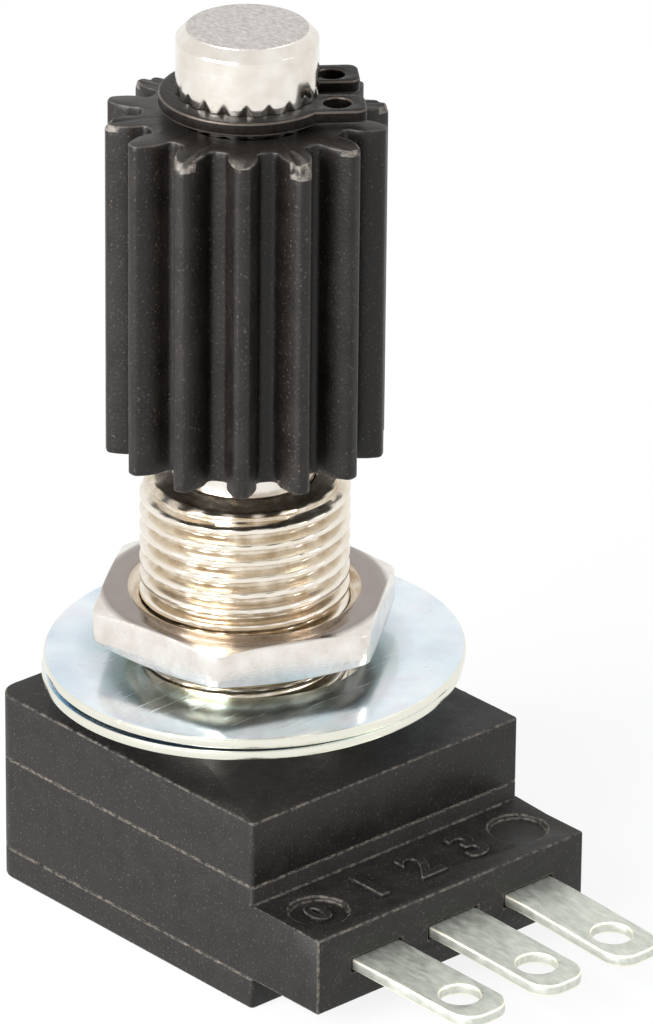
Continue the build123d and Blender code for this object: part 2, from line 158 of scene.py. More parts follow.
# %% [markdown]
# ## Moulded housing plastic
# The cover, body and base are compression-moulded phenolic: nearly black, matt, with a cloudy
# flow in it and pale filler dust. Where the mould halves met, the flash was tumbled off, which
# leaves a rough light line. The meshes carry an "edge" mask for that line.

# %% Moulded phenolic
moulded_phenolic, tree, shader, place = new_finish(
    "moulded_phenolic", Roughness=0.5, IOR=1.5, Specular_IOR_Level=0.3)
cloud = patches(tree, place, 0.9 * mm, 0.5, soft=0.25)
dust = patches(tree, place, 0.12 * mm, 0.13, soft=0.05, detail=2)
chipped = patches(tree, place, 0.26 * mm, 0.42, soft=0.16, detail=8)
coated(tree, shader, "#12100f", [
    ([cloud], 1, "#1c1a18"), ([dust], 0.3, "#6a655f"), (["edge", chipped], 0.65, "#6f6860")])
grain = add(tree, "ShaderNodeTexNoise", {"Vector": place, "Scale": 1 / (0.12 * mm), "Detail": 4})
worked(tree, shader, cloud, 0.42, 0.58, grain.outputs["Fac"], 0.016 * mm, 0.7)

flash_phenolic, tree, shader, place = new_finish(
    "phenolic_flash", Roughness=0.7, IOR=1.5, Specular_IOR_Level=0.3)
torn = patches(tree, place, 0.22 * mm, 0.5, soft=0.12)
coated(tree, shader, "#1a1816", [([torn], 1, "#6e665d")])
bump = add(tree, "ShaderNodeBump", {"Height": torn, "Distance": 0.02 * mm, "Strength": 1.0})
tree.links.new(bump.outputs[0], shader.inputs["Normal"])

# %% [markdown]
# ## Nickel plate
# The bushing, nut and shaft are machined brass or steel under bright nickel. Nickel is a warm
# grey metal. Turning leaves fine rings and handling leaves hairline scratches. The roots of the
# bushing's thread are darkened brown in patches.

# %% Nickel on the threaded bushing
bush_low, bush_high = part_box("bushing")
thread_crest = 4.7625 * mm
thread_depth = 0.46 * mm
thread_pitch = 25.4 / 32 * mm

nickel_bushing, tree, shader, place = new_finish("nickel_plated_bushing", Metallic=1.0)
tarnish = patches(tree, place, 1.4 * mm, 0.5, soft=0.25)
# The roots of the thread are darkened brown in patches.
root = near_axis(tree, place, thread_crest - thread_depth, thread_depth - 0.1 * mm)
root_patches = patches(tree, place, 0.7 * mm, 0.6, soft=0.2)
# The end face is painted darker grey: a painted reflection of the pinion above it.
end_face_reflection = above(tree, place, bush_high[2] - 0.2 * mm, 0.03 * mm)
coated(tree, shader, "#f2ece2", [
    ([tarnish], 1, "#e6dccb"), ([root, root_patches], 0.62, "#a0865f"), ([end_face_reflection], 0.3, "#8d857d")])
scratch = patches(tree, place, 0.5 * mm, 0.35, soft=0.1, detail=5, stretch=(1, 1, 9))
height = add(tree, "ShaderNodeSeparateXYZ", {0: place}).outputs["Z"]
profile = add(tree, "ShaderNodeCombineXYZ", {0: from_axis(tree, place), 2: height}).outputs[0]
rings = add(tree, "ShaderNodeTexNoise", {"Vector": profile, "Scale": 1 / (0.09 * mm), "Detail": 2})
worked(tree, shader, scratch, 0.17, 0.26, rings.outputs["Fac"], 0.0005 * mm, 0.3)

# %% Nickel on the nut
nut_low, nut_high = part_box("hex_nut")
countersink_rim = 5.32 * mm

nickel_nut, tree, shader, place = new_finish("nickel_plated_nut", Metallic=1.0)
tarnish = patches(tree, place, 1.1 * mm, 0.5, soft=0.2)
# The top face is painted a darker brown-grey: a painted reflection.
top_face_reflection = above(tree, place, nut_high[2] - 0.12 * mm, 0.08 * mm)
# The countersink is painted golden brown: a painted reflection of the bushing's thread.
thread_reflection = near_axis(tree, place, countersink_rim - 0.04 * mm, 0.04 * mm)
stain = patches(tree, place, 0.45 * mm, 0.12, soft=0.05)
coated(tree, shader, "#f0ece6", [
    ([tarnish], 1, "#ddd6cf"), ([top_face_reflection], 0.85, "#857973"), ([thread_reflection], 0.6, "#c9ab7c"),
    # The rounded edges are painted a little lighter: a painted highlight.
    ([stain], 0.15, "#8a7d72"), (["edge"], 0.3, "#f1ece4")])
scuffs = patches(tree, place, 0.35 * mm, 0.4, soft=0.12, detail=6, stretch=(1, 3, 5))
worked(tree, shader, scuffs, 0.12, 0.24, scuffs, 0.002 * mm, 0.4)

# %% Nickel on the shaft, with its sawn end
shaft_bottom, shaft_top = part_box("shaft")[0][2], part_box("shaft")[1][2]
ring_low, ring_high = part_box("retaining_ring")
pinion_low, pinion_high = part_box("pinion_gear")
sawn_roughness = 0.48

nickel_shaft, tree, shader, place = new_finish("nickel_plated_shaft", Metallic=1.0)
tarnish = patches(tree, place, 1.2 * mm, 0.5, soft=0.2)
# The gap between the pinion and the ring is painted almost black: painted shade between the parts.
below_ring = above(tree, place, ring_low[2], -0.02 * mm)
above_pinion = above(tree, place, pinion_high[2] - 0.4 * mm, 0.1 * mm)
sawn = above(tree, place, shaft_top - 0.05 * mm, 0.02 * mm)
along_saw = add(tree, "ShaderNodeMapping", {
    "Vector": place, "Rotation": (0, 0, math.radians(62)), "Scale": (1, 0.5, 1)}).outputs[0]
saw_marks = add(tree, "ShaderNodeTexNoise", {
    "Vector": along_saw, "Scale": 1 / (0.16 * mm), "Detail": 5, "Roughness": 0.65}).outputs["Fac"]
torn_metal = add(tree, "ShaderNodeMapRange", {
    "Value": saw_marks, "From Min": 0.35, "From Max": 0.65}).outputs["Result"]
pits = patches(tree, place, 0.3 * mm, 0.14, soft=0.05)
coated(tree, shader, "#efebe4", [
    ([tarnish], 1, "#ded7cc"), ([below_ring, above_pinion], 0.93, "#1f1b18"),
    ([sawn], 1, "#b3aeaa"), ([sawn, torn_metal], 1, "#d5d1cd"), ([sawn, pits], 0.5, "#8c8682")])
hairline = patches(tree, place, 0.4 * mm, 0.3, soft=0.15, detail=5, stretch=(1, 1, 7))
on_end = add(tree, "ShaderNodeMath", {0: saw_marks, 1: sawn}, operation="MULTIPLY").outputs[0]
worked(tree, shader, hairline, 0.12, 0.24, on_end, 0.03 * mm, 0.8)
side_gloss = shader.inputs["Roughness"].links[0].from_socket
gloss = add(tree, "ShaderNodeMix", {0: sawn, 2: side_gloss, 3: sawn_roughness}).outputs[0]
tree.links.new(gloss, shader.inputs["Roughness"])

# %% [markdown]
# ## Zinc plate on the washers
# The washers are stamped steel under clear-passivated zinc, which looks faintly blue with
# lilac and straw tints. They lay loose in a bag, so they carry long hairlines and small nicks.

# %% Blue zinc
zinc_washer, tree, shader, place = new_finish("zinc_plated_steel", Metallic=1.0)
blue = patches(tree, place, 3.2 * mm, 0.5, soft=0.2, detail=2)
lilac = patches(tree, place, 2.1 * mm, 0.3, soft=0.15, detail=2)
# The band beside the nut is painted darker teal: painted shade from the nut.
shade_near_nut = near_axis(tree, place, 6.0 * mm, 1.8 * mm)
stain = patches(tree, place, 0.35 * mm, 0.1, soft=0.05)
coated(tree, shader, "#cbdee9", [
    ([blue], 1, "#ebf3f6"), ([shade_near_nut], 0.7, "#8fa8a6"), ([lilac], 0.5, "#d8d3e0"),
    ([stain], 0.14, "#8d979c"), (["edge"], 0.8, "#e9e5d2")])
hairs = patches(tree, place, 0.9 * mm, 0.16, soft=0.03, detail=7, stretch=(0.25, 5, 1))
worked(tree, shader, hairs, 0.19, 0.3, hairs, 0.004 * mm, 0.4)

# %% [markdown]
# ## Black nylon pinion
# The pinion is moulded or cut from black nylon, slightly brown in a strong light. Its tooth
# flanks are glossy where they run, its tops are matt, and a few corners are chipped white.
# A "worn" mask on the mesh says where.

# %% Black nylon
black_nylon, tree, shader, place = new_finish(
    "black_nylon", Roughness=0.4, IOR=1.53, Specular_IOR_Level=0.3)
cloud = patches(tree, place, 1.5 * mm, 0.5, soft=0.25)
specks = patches(tree, place, 0.12 * mm, 0.12, soft=0.05, detail=2)
cut_end = above(tree, place, pinion_high[2] - 0.06 * mm, 0.03 * mm)
rubbed = patches(tree, place, 0.5 * mm, 0.6, soft=0.15)
broken = patches(tree, place, 0.3 * mm, 0.42, soft=0.16)
coated(tree, shader, "#0f0c0a", [
    ([cloud], 1, "#191512"), ([specks], 0.3, "#6d625a"), ([cut_end], 0.4, "#2e2a27"),
    (["edge", rubbed], 0.4, "#5d564f"), (["worn", broken], 0.7, "#8d867e")])
grain = add(tree, "ShaderNodeTexNoise", {"Vector": place, "Scale": 1 / (0.16 * mm), "Detail": 4})
worked(tree, shader, cloud, 0.34, 0.5, grain.outputs["Fac"], 0.02 * mm, 0.7)

# %% [markdown]
# ## Retaining ring, terminals and the pieces inside
# The ring is phosphated spring steel, which is black and slightly oily. The terminals are
# brass strip under dull tin. The hidden pieces keep their CAD shape, and their finishes share
# one recipe: a base colour, a cloud of a second one, and a grain at its own scale.

# %% Phosphated spring steel
black_ring, tree, shader, place = new_finish(
    "phosphated_spring_steel", Metallic=0.6, Specular_IOR_Level=0.2)
crystals = patches(tree, place, 0.18 * mm, 0.5, soft=0.2)
# The rounded edges are painted lighter: a painted highlight along the ring's rims.
coated(tree, shader, "#100d0b", [([crystals], 1, "#1b1714"), (["edge"], 0.5, "#6e655e")])
worked(tree, shader, crystals, 0.32, 0.5, crystals, 0.006 * mm, 0.5)

# %% Dull tin on brass
tin_terminal, tree, shader, place = new_finish("tin_plated_brass", Metallic=1.0)
cloud = patches(tree, place, 0.5 * mm, 0.5, soft=0.25, detail=6, stretch=(2, 0.7, 1))
bloom = patches(tree, place, 0.4 * mm, 0.3, soft=0.2, detail=5, stretch=(2, 0.5, 1))
glint = patches(tree, place, 0.2 * mm, 0.12, soft=0.05, stretch=(3, 0.4, 1))
coated(tree, shader, "#c6cac0", [
    ([cloud], 1, "#d9dcd3"), ([bloom], 0.4, "#989d93"), ([glint], 0.5, "#eeefe4"),
    # The rounded edges are painted near white: a painted highlight.
    (["edge"], 0.8, "#fbf6e2")])
worked(tree, shader, cloud, 0.44, 0.58, cloud, 0.012 * mm, 0.6)

# %% Finishes of the pieces inside
inner_finishes = {
    # name: (CAD nodes, colour, second colour, metallic, roughness, patch and grain depth in mm)
    "plain_steel": (["thrust_washer", "shaft_clip"], "#9a9894", "#7f7c77", 1.0, 0.3, 0.8, 0.004),
    "natural_nylon": (["rotor"], "#e4ddc8", "#d3cab0", 0.0, 0.42, 1.4, 0.01),
    "phosphor_bronze": (["wiper"], "#b9794b", "#9a5f3a", 1.0, 0.26, 0.7, 0.004),
    "phenolic_paper_board": (["element_board"], "#7b4a26", "#5f381d", 0.0, 0.5, 0.5, 0.012),
    "carbon_film": (["resistive_track"], "#1d1d1f", "#2b2a2b", 0.0, 0.6, 0.25, 0.008),
    "silver_film": (["collector_ring"], "#c9c9c4", "#a9a9a2", 0.8, 0.42, 0.3, 0.008),
    "tinned_eyelet_brass": (["terminal_eyelets"], "#c1a860", "#a38a48", 1.0, 0.28, 0.6, 0.005),
}
for name, (nodes, colour, second, metal, rough, patch, grain_depth) in inner_finishes.items():
    finish, tree, shader, place = new_finish(name, Metallic=metal, Roughness=rough)
    cloud = patches(tree, place, patch * mm, 0.5, soft=0.2)
    fleck = patches(tree, place, patch / 5 * mm, 0.2, soft=0.06)
    coated(tree, shader, colour, [([cloud], 1, second), ([fleck], 0.3, second)])
    worked(tree, shader, cloud, rough - 0.06, rough + 0.1, fleck, grain_depth * mm, 0.5)
    for node_name in nodes:
        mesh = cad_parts[node_name].data
        mesh.materials.clear()
        mesh.materials.append(finish)
print("finishes:", len(bpy.data.materials))

# %% [markdown]
# ## From points to a finished piece
# Most pieces here are round, so one function lays a closed profile round the shaft axis. The
# profile may change with the angle, which is what a nut needs. A second function links a
# mesh into the scene under its body and hides the CAD nodes that it replaces, and a third
# marks its rounded edges for the finishes.

# %% Mesh helpers
def round_mesh(name, count, profile_at, closed=True):
    """Mesh round the shaft axis from the profile of (radius, height) points at each angle."""
    bm = bmesh.new()
    rows = []
    for n in range(count):
        angle = turn * n / count
        rows.append([bm.verts.new((r * math.cos(angle), r * math.sin(angle), z))
                     for r, z in profile_at(angle)])
    last = len(rows[0]) if closed else len(rows[0]) - 1
    for n in range(count):
        here, there = rows[n], rows[(n + 1) % count]
        for k in range(last):
            m = (k + 1) % len(here)
            bm.faces.new((here[k], there[k], there[m], here[m]))
    bmesh.ops.remove_doubles(bm, verts=bm.verts, dist=0.001 * mm)
    bmesh.ops.recalc_face_normals(bm, faces=bm.faces)
    mesh = bpy.data.meshes.new(name)
    bm.to_mesh(mesh)
    bm.free()
    return mesh


def softened(corners, steps=3):
    """Closed profile in metres from (radius, height, rounding) corners in metres."""
    points = []
    for n, (r, z, rounding) in enumerate(corners):
        corner = Vector((r, z))
        before = Vector(corners[n - 1][:2]) - corner
        after = Vector(corners[(n + 1) % len(corners)][:2]) - corner
        start = corner + before.normalized() * rounding
        end = corner + after.normalized() * rounding
        for k in range(steps + 1):
            t = k / steps
            points.append(tuple(start * (1 - t) ** 2 + corner * 2 * t * (1 - t) + end * t ** 2))
    return points


def mark_edges(mesh, lowest=0.12, highest=0.93):
    """Face mask "edge": 1 on the sloping faces that round an edge between a side and an end."""
    marks = mesh.attributes.get("edge") or mesh.attributes.new("edge", "FLOAT", "FACE")
    for face in mesh.polygons:
        if lowest < abs(face.normal.z) < highest:
            marks.data[face.index].value = 1.0


def placed(name, data):
    """A new object with its data, in the scene."""
    item = bpy.data.objects.new(name, data)
    bpy.context.scene.collection.objects.link(item)
    return item


def show(mesh, name, finish, body, node_names, sharp=30):
    """The mesh as a piece of the object, smooth but for edges sharper than an angle."""
    mesh.materials.clear()
    mesh.materials.append(finish)
    mesh.shade_smooth()
    mesh.set_sharp_from_angle(angle=math.radians(sharp))
    piece = placed(name, mesh)
    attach(piece, body)
    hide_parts(*node_names)
    print(name, len(mesh.polygons), "faces")


def plain_mesh(carrier, name):
    """What an object looks like with its modifiers, as a mesh of its own. The object goes."""
    bpy.context.view_layer.update()
    depsgraph = bpy.context.evaluated_depsgraph_get()
    mesh = bpy.data.meshes.new_from_object(carrier.evaluated_get(depsgraph))
    mesh.name = name
    carrier.modifiers.clear()
    bpy.data.objects.remove(carrier)
    return mesh


# %% [markdown]
# ## Geometry trees
# What repeats or follows a rule is made by a geometry tree with named inputs. Its arithmetic is
# written as a nested formula, and each tree ends as plain mesh with its material.

# %% Helpers for geometry trees
def grown(mesh, name, tree, values):
    """A new mesh from a mesh and a geometry tree, with the tree's named inputs set."""
    carrier = placed(name + "_carrier", mesh)
    modifier = carrier.modifiers.new("tree", "NODES")
    modifier.node_group = tree
    for item in tree.interface.items_tree:
        if item.item_type == "SOCKET" and item.in_out == "INPUT" and item.name in values:
            modifier[item.identifier] = values[item.name]
    return plain_mesh(carrier, name)


def new_tree(name, sockets):
    """An empty geometry tree with a geometry input and output and named inputs."""
    tree = bpy.data.node_groups.new(name, "GeometryNodeTree")
    tree.interface.new_socket("Geometry", in_out="INPUT", socket_type="NodeSocketGeometry")
    for socket_name, kind in sockets.items():
        tree.interface.new_socket(socket_name, in_out="INPUT", socket_type="NodeSocket" + kind)
    tree.interface.new_socket("Geometry", in_out="OUTPUT", socket_type="NodeSocketGeometry")
    return tree, add(tree, "NodeGroupInput").outputs


def formula(tree, steps):
    """Nested steps of (operation, value, value) as nodes, where a value may be steps too."""
    if not isinstance(steps, tuple):
        return steps
    operation, *values = steps
    inputs = {n: formula(tree, value) for n, value in enumerate(values)}
    return add(tree, "ShaderNodeMath", inputs, operation=operation).outputs[0]


def end_tree(tree, geometry, material):
    """Plain mesh with its material at the end of a tree."""
    plain = add(tree, "GeometryNodeRealizeInstances", {0: geometry}).outputs[0]
    painted = add(tree, "GeometryNodeSetMaterial", {"Geometry": plain, "Material": material})
    add(tree, "NodeGroupOutput", {0: painted.outputs[0]})


def cut_skin(tree, given, skin, reach, new_reach):
    """End of a tree that moves the skin of a round piece to a new distance from the axis."""
    position = add(tree, "GeometryNodeInputPosition").outputs[0]
    scale = formula(tree, ("DIVIDE", new_reach, reach))
    factors = add(tree, "ShaderNodeCombineXYZ", {0: scale, 1: scale, 2: 1.0}).outputs[0]
    moved = add(tree, "ShaderNodeVectorMath", {0: position, 1: factors}, operation="MULTIPLY")
    cut = add(tree, "GeometryNodeSetPosition", {
        "Geometry": given["Geometry"], "Selection": formula(tree, skin),
        "Position": moved.outputs[0]})
    end_tree(tree, cut.outputs[0], given["Material"])


# %% [markdown]
# ## Screw thread
# A thread is a groove that climbs one pitch in each turn, so its depth follows a rule: the
# height, less the angle's share of a pitch, says how deep the skin is cut. A geometry tree
# does this to a finely divided sleeve. The nut's bore goes through the same tree with a
# slightly larger crest, so its thread nests in the bushing's.

# %% Geometry tree that cuts a thread
thread_tree, given = new_tree("cut_thread", {
    "Crest": "Float", "Depth": "Float", "Pitch": "Float", "Start": "Float",
    "Run-out from": "Float", "Material": "Material"})
position = add(thread_tree, "GeometryNodeInputPosition").outputs[0]
x, y, z = add(thread_tree, "ShaderNodeSeparateXYZ", {0: position}).outputs
reach = from_axis(thread_tree, position)
share = ("DIVIDE", ("ARCTAN2", y, x), turn)
climb = ("DIVIDE", ("SUBTRACT", z, given["Start"]), given["Pitch"])
# Whole turns are added, because the fraction of a negative number runs the other way.
phase = ("FRACT", ("ADD", ("SUBTRACT", climb, share), 100.0))
slope = formula(thread_tree, ("MULTIPLY", ("ABSOLUTE", ("SUBTRACT", phase, 0.5)), 2.0))
# The first and last sixth of the slope stay flat, as the crest and the root.
groove = add(thread_tree, "ShaderNodeMapRange", {
    "Value": slope, "From Min": 0.16, "From Max": 0.84}, interpolation_type="SMOOTHSTEP")
run_out = add(thread_tree, "ShaderNodeMapRange", {
    "Value": formula(thread_tree, ("SUBTRACT", z, given["Run-out from"])),
    "From Min": 0.0, "From Max": 0.8 * mm})
depth = ("MULTIPLY", ("MULTIPLY", groove.outputs[0], run_out.outputs[0]), given["Depth"])
cut_skin(thread_tree, given, ("LESS_THAN", reach, ("MULTIPLY", given["Crest"], 1.0005)), reach,
         ("MINIMUM", reach, ("SUBTRACT", given["Crest"], depth)))

# %% Threaded bushing
shoulder_radius = 6.0 * mm
shoulder_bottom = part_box("housing_cover")[1][2]
rim_radius = 4.2 * mm
crown = 0.2 * mm
rim_height = bush_high[2] - crown
chamfer_bottom = rim_height - 0.45 * mm
bore = 3.215 * mm
spigot_radius = 5.0 * mm
lip_radius = 5.6 * mm
lip_height = 0.4 * mm
thread_start = 0.3 * mm

thread_rows = 300
sleeve = [(bore, bush_low[2]), (lip_radius, bush_low[2]), (lip_radius, bush_low[2] + lip_height),
          (spigot_radius, bush_low[2] + lip_height), (spigot_radius, shoulder_bottom),
          (shoulder_radius - 0.1 * mm, shoulder_bottom),
          (shoulder_radius, shoulder_bottom + 0.1 * mm), (shoulder_radius, -0.15 * mm),
          (shoulder_radius - 0.15 * mm, 0.0), (thread_crest + 0.05 * mm, 0.0)]
sleeve += [(thread_crest, chamfer_bottom * n / thread_rows) for n in range(thread_rows + 1)]
for n in range(1, 6):
    sleeve.append((thread_crest + (rim_radius - thread_crest) * n / 6,
                   chamfer_bottom + (rim_height - chamfer_bottom) * n / 6))
sleeve += [(rim_radius + 0.03 * mm, rim_height - 0.02 * mm),
           (rim_radius - 0.03 * mm, rim_height + 0.01 * mm)]
for n in range(1, 8):
    sleeve.append((rim_radius + (bore + 0.08 * mm - rim_radius) * n / 7,
                   rim_height + crown * n / 7))
sleeve += [(bore, bush_high[2] - 0.06 * mm), (bore, 0.0)]
thread = {"Depth": thread_depth, "Pitch": thread_pitch, "Start": thread_start,
          "Run-out from": 0.1 * mm}
sleeve_mesh = round_mesh("sleeve", 256, lambda angle: sleeve)
bushing_mesh = grown(sleeve_mesh, "bushing_mesh", thread_tree, {
    **thread, "Crest": thread_crest, "Material": nickel_bushing})
show(bushing_mesh, "bushing_threaded", nickel_bushing, HOUSING, ["bushing"])

# %% [markdown]
# ## Nut
# A hex nut is a hexagonal bar whose corners are turned off with a shallow cone at both ends,
# which is why each flat ends in an arch. The profile function works out the hexagon's reach
# at each angle and drops the face by the cone beyond the across-flats circle.

# %% Hexagon nut
across_flats = 12.7 * mm
nut_turn = math.radians(38.2)
cone_slope = math.tan(math.radians(15))
face_radius = across_flats / 2 - 0.12 * mm
corner_reach = across_flats / math.sqrt(3) - 0.12 * mm
nut_bore = thread_crest + 0.05 * mm
edge_round = 0.07 * mm
nut_middle = (nut_low[2] + nut_high[2]) / 2
nut_half = (nut_high[2] - nut_low[2]) / 2
countersink_depth = 0.5 * mm


def nut_profile(angle):
    """The nut's section at an angle: the upper half, and the same turned over."""
    # A corner of the hexagon lies at nut_turn, and the middle of a flat 30 degrees on from it.
    from_corner = (angle - nut_turn + turn / 12) % (turn / 6) - turn / 12
    side = min(across_flats / 2 / math.cos(turn / 12 - abs(from_corner)), corner_reach)
    drop = max(0.0, side - face_radius) * cone_slope
    upper = [(nut_bore, nut_half - countersink_depth),
             (countersink_rim - 0.03 * mm, nut_half - 0.02 * mm),
             (countersink_rim + 0.05 * mm, nut_half)]
    for n in range(1, 5):
        reach = countersink_rim + (face_radius - countersink_rim) * n / 5
        upper.append((reach, nut_half))
    for n in range(4):
        reach = face_radius + (side - edge_round - face_radius) * n / 3
        upper.append((reach, nut_half - max(0.0, reach - face_radius) * cone_slope))
    upper.append((side - 0.3 * edge_round, nut_half - drop - 0.3 * edge_round))
    upper.append((side, nut_half - drop - edge_round))
    upper.append((side, (nut_half - drop) / 2))
    lower = [(reach, -height) for reach, height in reversed(upper)]
    bore_half = nut_half - countersink_depth
    inside_bore = [(nut_bore, bore_half * (n / 8 - 1)) for n in range(1, 16)]
    return [(reach, height + nut_middle) for reach, height in upper + lower + inside_bore]


nut_mesh = round_mesh("nut_blank", 252, nut_profile)
nut_mesh = grown(nut_mesh, "nut_mesh", thread_tree, {
    **thread, "Crest": nut_bore, "Material": nickel_nut})
mark_edges(nut_mesh, 0.2, 0.9)
show(nut_mesh, "nut_hexagon", nickel_nut, HOUSING, ["hex_nut"], sharp=24)

# %% [markdown]
# ## Washers
# Both washers are stamped, so their rims are rounded on the punch side. They lie loose on
# each other, off centre and tilted. The place and the tilt come from the CAD nodes' own
# vertices: the middle of their box is the middle and the thinnest direction through them is
# the upright.

# %% Two loose washers
def seat_of(node_name):
    """Middle and upright of a flat CAD node, from its vertices."""
    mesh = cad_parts[node_name].data
    low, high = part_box(node_name)
    points = numpy.empty(len(mesh.vertices) * 3)
    mesh.vertices.foreach_get("co", points)
    points = points.reshape(-1, 3)
    middle = (numpy.array(low) + numpy.array(high)) / 2
    upright = numpy.linalg.svd(points - points.mean(axis=0), full_matrices=False)[2][2]
    return Vector(middle), Vector(upright if upright[2] > 0 else -upright)


washer_outer, washer_inner, washer_thick = 9.6 * mm, 5.35 * mm, 0.48 * mm
half = washer_thick / 2
for name in ("lower_washer", "upper_washer"):
    middle, upright = seat_of(name)
    section = softened([
        (washer_inner, -half, 0.08 * mm), (washer_outer, -half, 0.13 * mm),
        (washer_outer, half, 0.17 * mm), (washer_inner, half, 0.1 * mm)])
    mesh = round_mesh(name + "_mesh", 256, lambda angle: section)
    place_on = Matrix.Translation(middle) @ Vector((0, 0, 1)).rotation_difference(
        upright).to_matrix().to_4x4()
    mark_edges(mesh, lowest=-1.0)  # the bare rims take the straw tint too
    mesh.transform(place_on)
    show(mesh, name + "_stamped", zinc_washer, HOUSING, [name])
    print(name, "tilted", round(math.degrees(upright.angle((0, 0, 1))), 2), "degrees")

# %% [markdown]
# ## Shaft
# The shaft is turned from bar, grooved for its clips and pressed with a knurl that the pinion
# bites on. The knurl is a rule too: so many notches round the shaft, each a V that closes
# towards the top. It is cut by a second geometry tree. The head was sawn off, then chamfered.

# %% Geometry tree that presses a knurl
knurl_tree, given = new_tree("press_knurl", {
    "Count": "Float", "Depth": "Float", "Turn": "Float", "Top": "Float", "Bottom": "Float",
    "Taper": "Float", "Width": "Float", "Skin from": "Float", "Material": "Material"})
position = add(knurl_tree, "GeometryNodeInputPosition").outputs[0]
x, y, z = add(knurl_tree, "ShaderNodeSeparateXYZ", {0: position}).outputs
reach = from_axis(knurl_tree, position)
angle = ("SUBTRACT", ("ARCTAN2", y, x), given["Turn"])
share = ("FRACT", ("ADD", ("MULTIPLY", ("DIVIDE", angle, turn), given["Count"]), 100.5))
off_middle = ("DIVIDE", ("ABSOLUTE", ("SUBTRACT", share, 0.5)), given["Width"])
below_top = add(knurl_tree, "ShaderNodeMapRange", {"Value": formula(
    knurl_tree, ("DIVIDE", ("SUBTRACT", given["Top"], z), given["Taper"]))}).outputs[0]
notch = ("MAXIMUM", ("SUBTRACT", below_top, off_middle), 0.0)
bite = ("MULTIPLY", ("MULTIPLY", notch, ("GREATER_THAN", z, given["Bottom"])), given["Depth"])
cut_skin(knurl_tree, given, ("GREATER_THAN", reach, given["Skin from"]), reach,
         ("SUBTRACT", reach, bite))

# %% Shaft with its grooves, knurl and sawn head
shaft_radius = 3.175 * mm
clip_low, clip_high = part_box("shaft_clip")[0][2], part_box("shaft_clip")[1][2]
drive_radius, drive_flat = 2.4 * mm, 1.9 * mm
clip_groove = 2.65 * mm
ring_groove = 2.87 * mm
seat_gap = 0.02 * mm
knurl_top = ring_high[2] + 0.55 * mm
chamfer = 0.5 * mm
knurl_turn = math.radians(227.8)
knurl_taper = 0.55 * mm

rod = [(0.0, shaft_bottom), (drive_radius, shaft_bottom), (drive_radius, clip_low - 4 * seat_gap),
       (shaft_radius, clip_low - 4 * seat_gap), (shaft_radius, clip_low - seat_gap),
       (clip_groove, clip_low - seat_gap), (clip_groove, clip_high + seat_gap),
       (shaft_radius, clip_high + seat_gap)]
# A few rings between the bushing and the pinion keep the faces there short.
rod += [(shaft_radius, z * mm) for z in (0, 9, 9.8, 10.4, 11, 11.4)]
rod += [(shaft_radius, pinion_low[2]), (shaft_radius, ring_low[2] - seat_gap),
        (ring_groove, ring_low[2] - seat_gap), (ring_groove, ring_high[2] + seat_gap)]
head_rows = 26
head_bottom = ring_high[2] + seat_gap
head_top = shaft_top - chamfer
for n in range(head_rows + 1):
    rod.append((shaft_radius, head_bottom + (head_top - 0.04 * mm - head_bottom) * n / head_rows))
rod += [(shaft_radius - 0.02 * mm, head_top + 0.02 * mm),
        (shaft_radius - chamfer + 0.03 * mm, shaft_top - 0.03 * mm),
        (shaft_radius - chamfer - 0.03 * mm, shaft_top)]
rod += [((shaft_radius - chamfer) * n / 6, shaft_top) for n in (5, 4, 3, 2, 1)]
rod += [(0.0, shaft_top)]
rod_mesh = round_mesh("rod", 320, lambda angle: rod, closed=False)
# The bottom end has two flats, which drive the rotor.
for vertex in rod_mesh.vertices:
    if vertex.co.z < clip_low - 3.5 * seat_gap and abs(vertex.co.x) > drive_flat:
        if math.hypot(vertex.co.x, vertex.co.y) < drive_radius * 1.01:
            vertex.co.x = math.copysign(drive_flat, vertex.co.x)
shaft_mesh = grown(rod_mesh, "shaft_mesh", knurl_tree, {
    "Count": 20.0, "Depth": 0.13 * mm, "Turn": knurl_turn, "Top": knurl_top,
    "Bottom": pinion_low[2] + 0.5 * mm, "Taper": knurl_taper, "Width": 0.36,
    "Skin from": 3.1 * mm, "Material": nickel_shaft})
show(shaft_mesh, "shaft_turned", nickel_shaft, SPINDLE, ["shaft"],
     sharp=22)

# %% [markdown]
# ## Pinion
# A gear repeats one tooth, so only one sector is drawn: an involute flank each side, a small
# fillet at the root and rounded ends. A geometry tree turns the sector to each place and
# merges the seams, so the pinion is one closed piece. Chips are pressed in afterwards, since
# each one is different.

# %% Geometry tree that repeats a sector
gear_tree, given = new_tree("ring_of_teeth", {
    "Count": "Int", "Turn": "Float", "Seam": "Float", "Material": "Material"})
places = add(gear_tree, "GeometryNodeMeshLine", {"Count": given["Count"], "Offset": (0, 0, 0)})
number = add(gear_tree, "GeometryNodeInputIndex").outputs[0]
angle = ("ADD", ("MULTIPLY", ("DIVIDE", number, given["Count"]), turn), given["Turn"])
rotation = add(gear_tree, "ShaderNodeCombineXYZ", {2: formula(gear_tree, angle)})
copies = add(gear_tree, "GeometryNodeInstanceOnPoints", {
    "Points": places.outputs[0], "Instance": given["Geometry"], "Rotation": rotation.outputs[0]})
whole = add(gear_tree, "GeometryNodeRealizeInstances", {0: copies.outputs[0]})
joined = add(gear_tree, "GeometryNodeMergeByDistance", {
    "Geometry": whole.outputs[0], "Distance": given["Seam"]})
end_tree(gear_tree, joined.outputs[0], given["Material"])

# %% One sector of the pinion
tooth_count = 14
tip_radius = 6.35 * mm
root_radius = 4.65 * mm
root_fillet = 0.3 * mm
pinion_bore = 3.195 * mm
pinion_turn = math.radians(21.0)
pressure_angle = math.radians(20)
pitch_radius = tip_radius * tooth_count / (tooth_count + 2)
base_radius = pitch_radius * math.cos(pressure_angle)
end_round = 0.07 * mm
half_sector = turn / 2 / tooth_count


def involute(radius):
    """Turn of an involute at a radius."""
    angle = math.acos(min(base_radius / radius, 1))
    return math.tan(angle) - angle


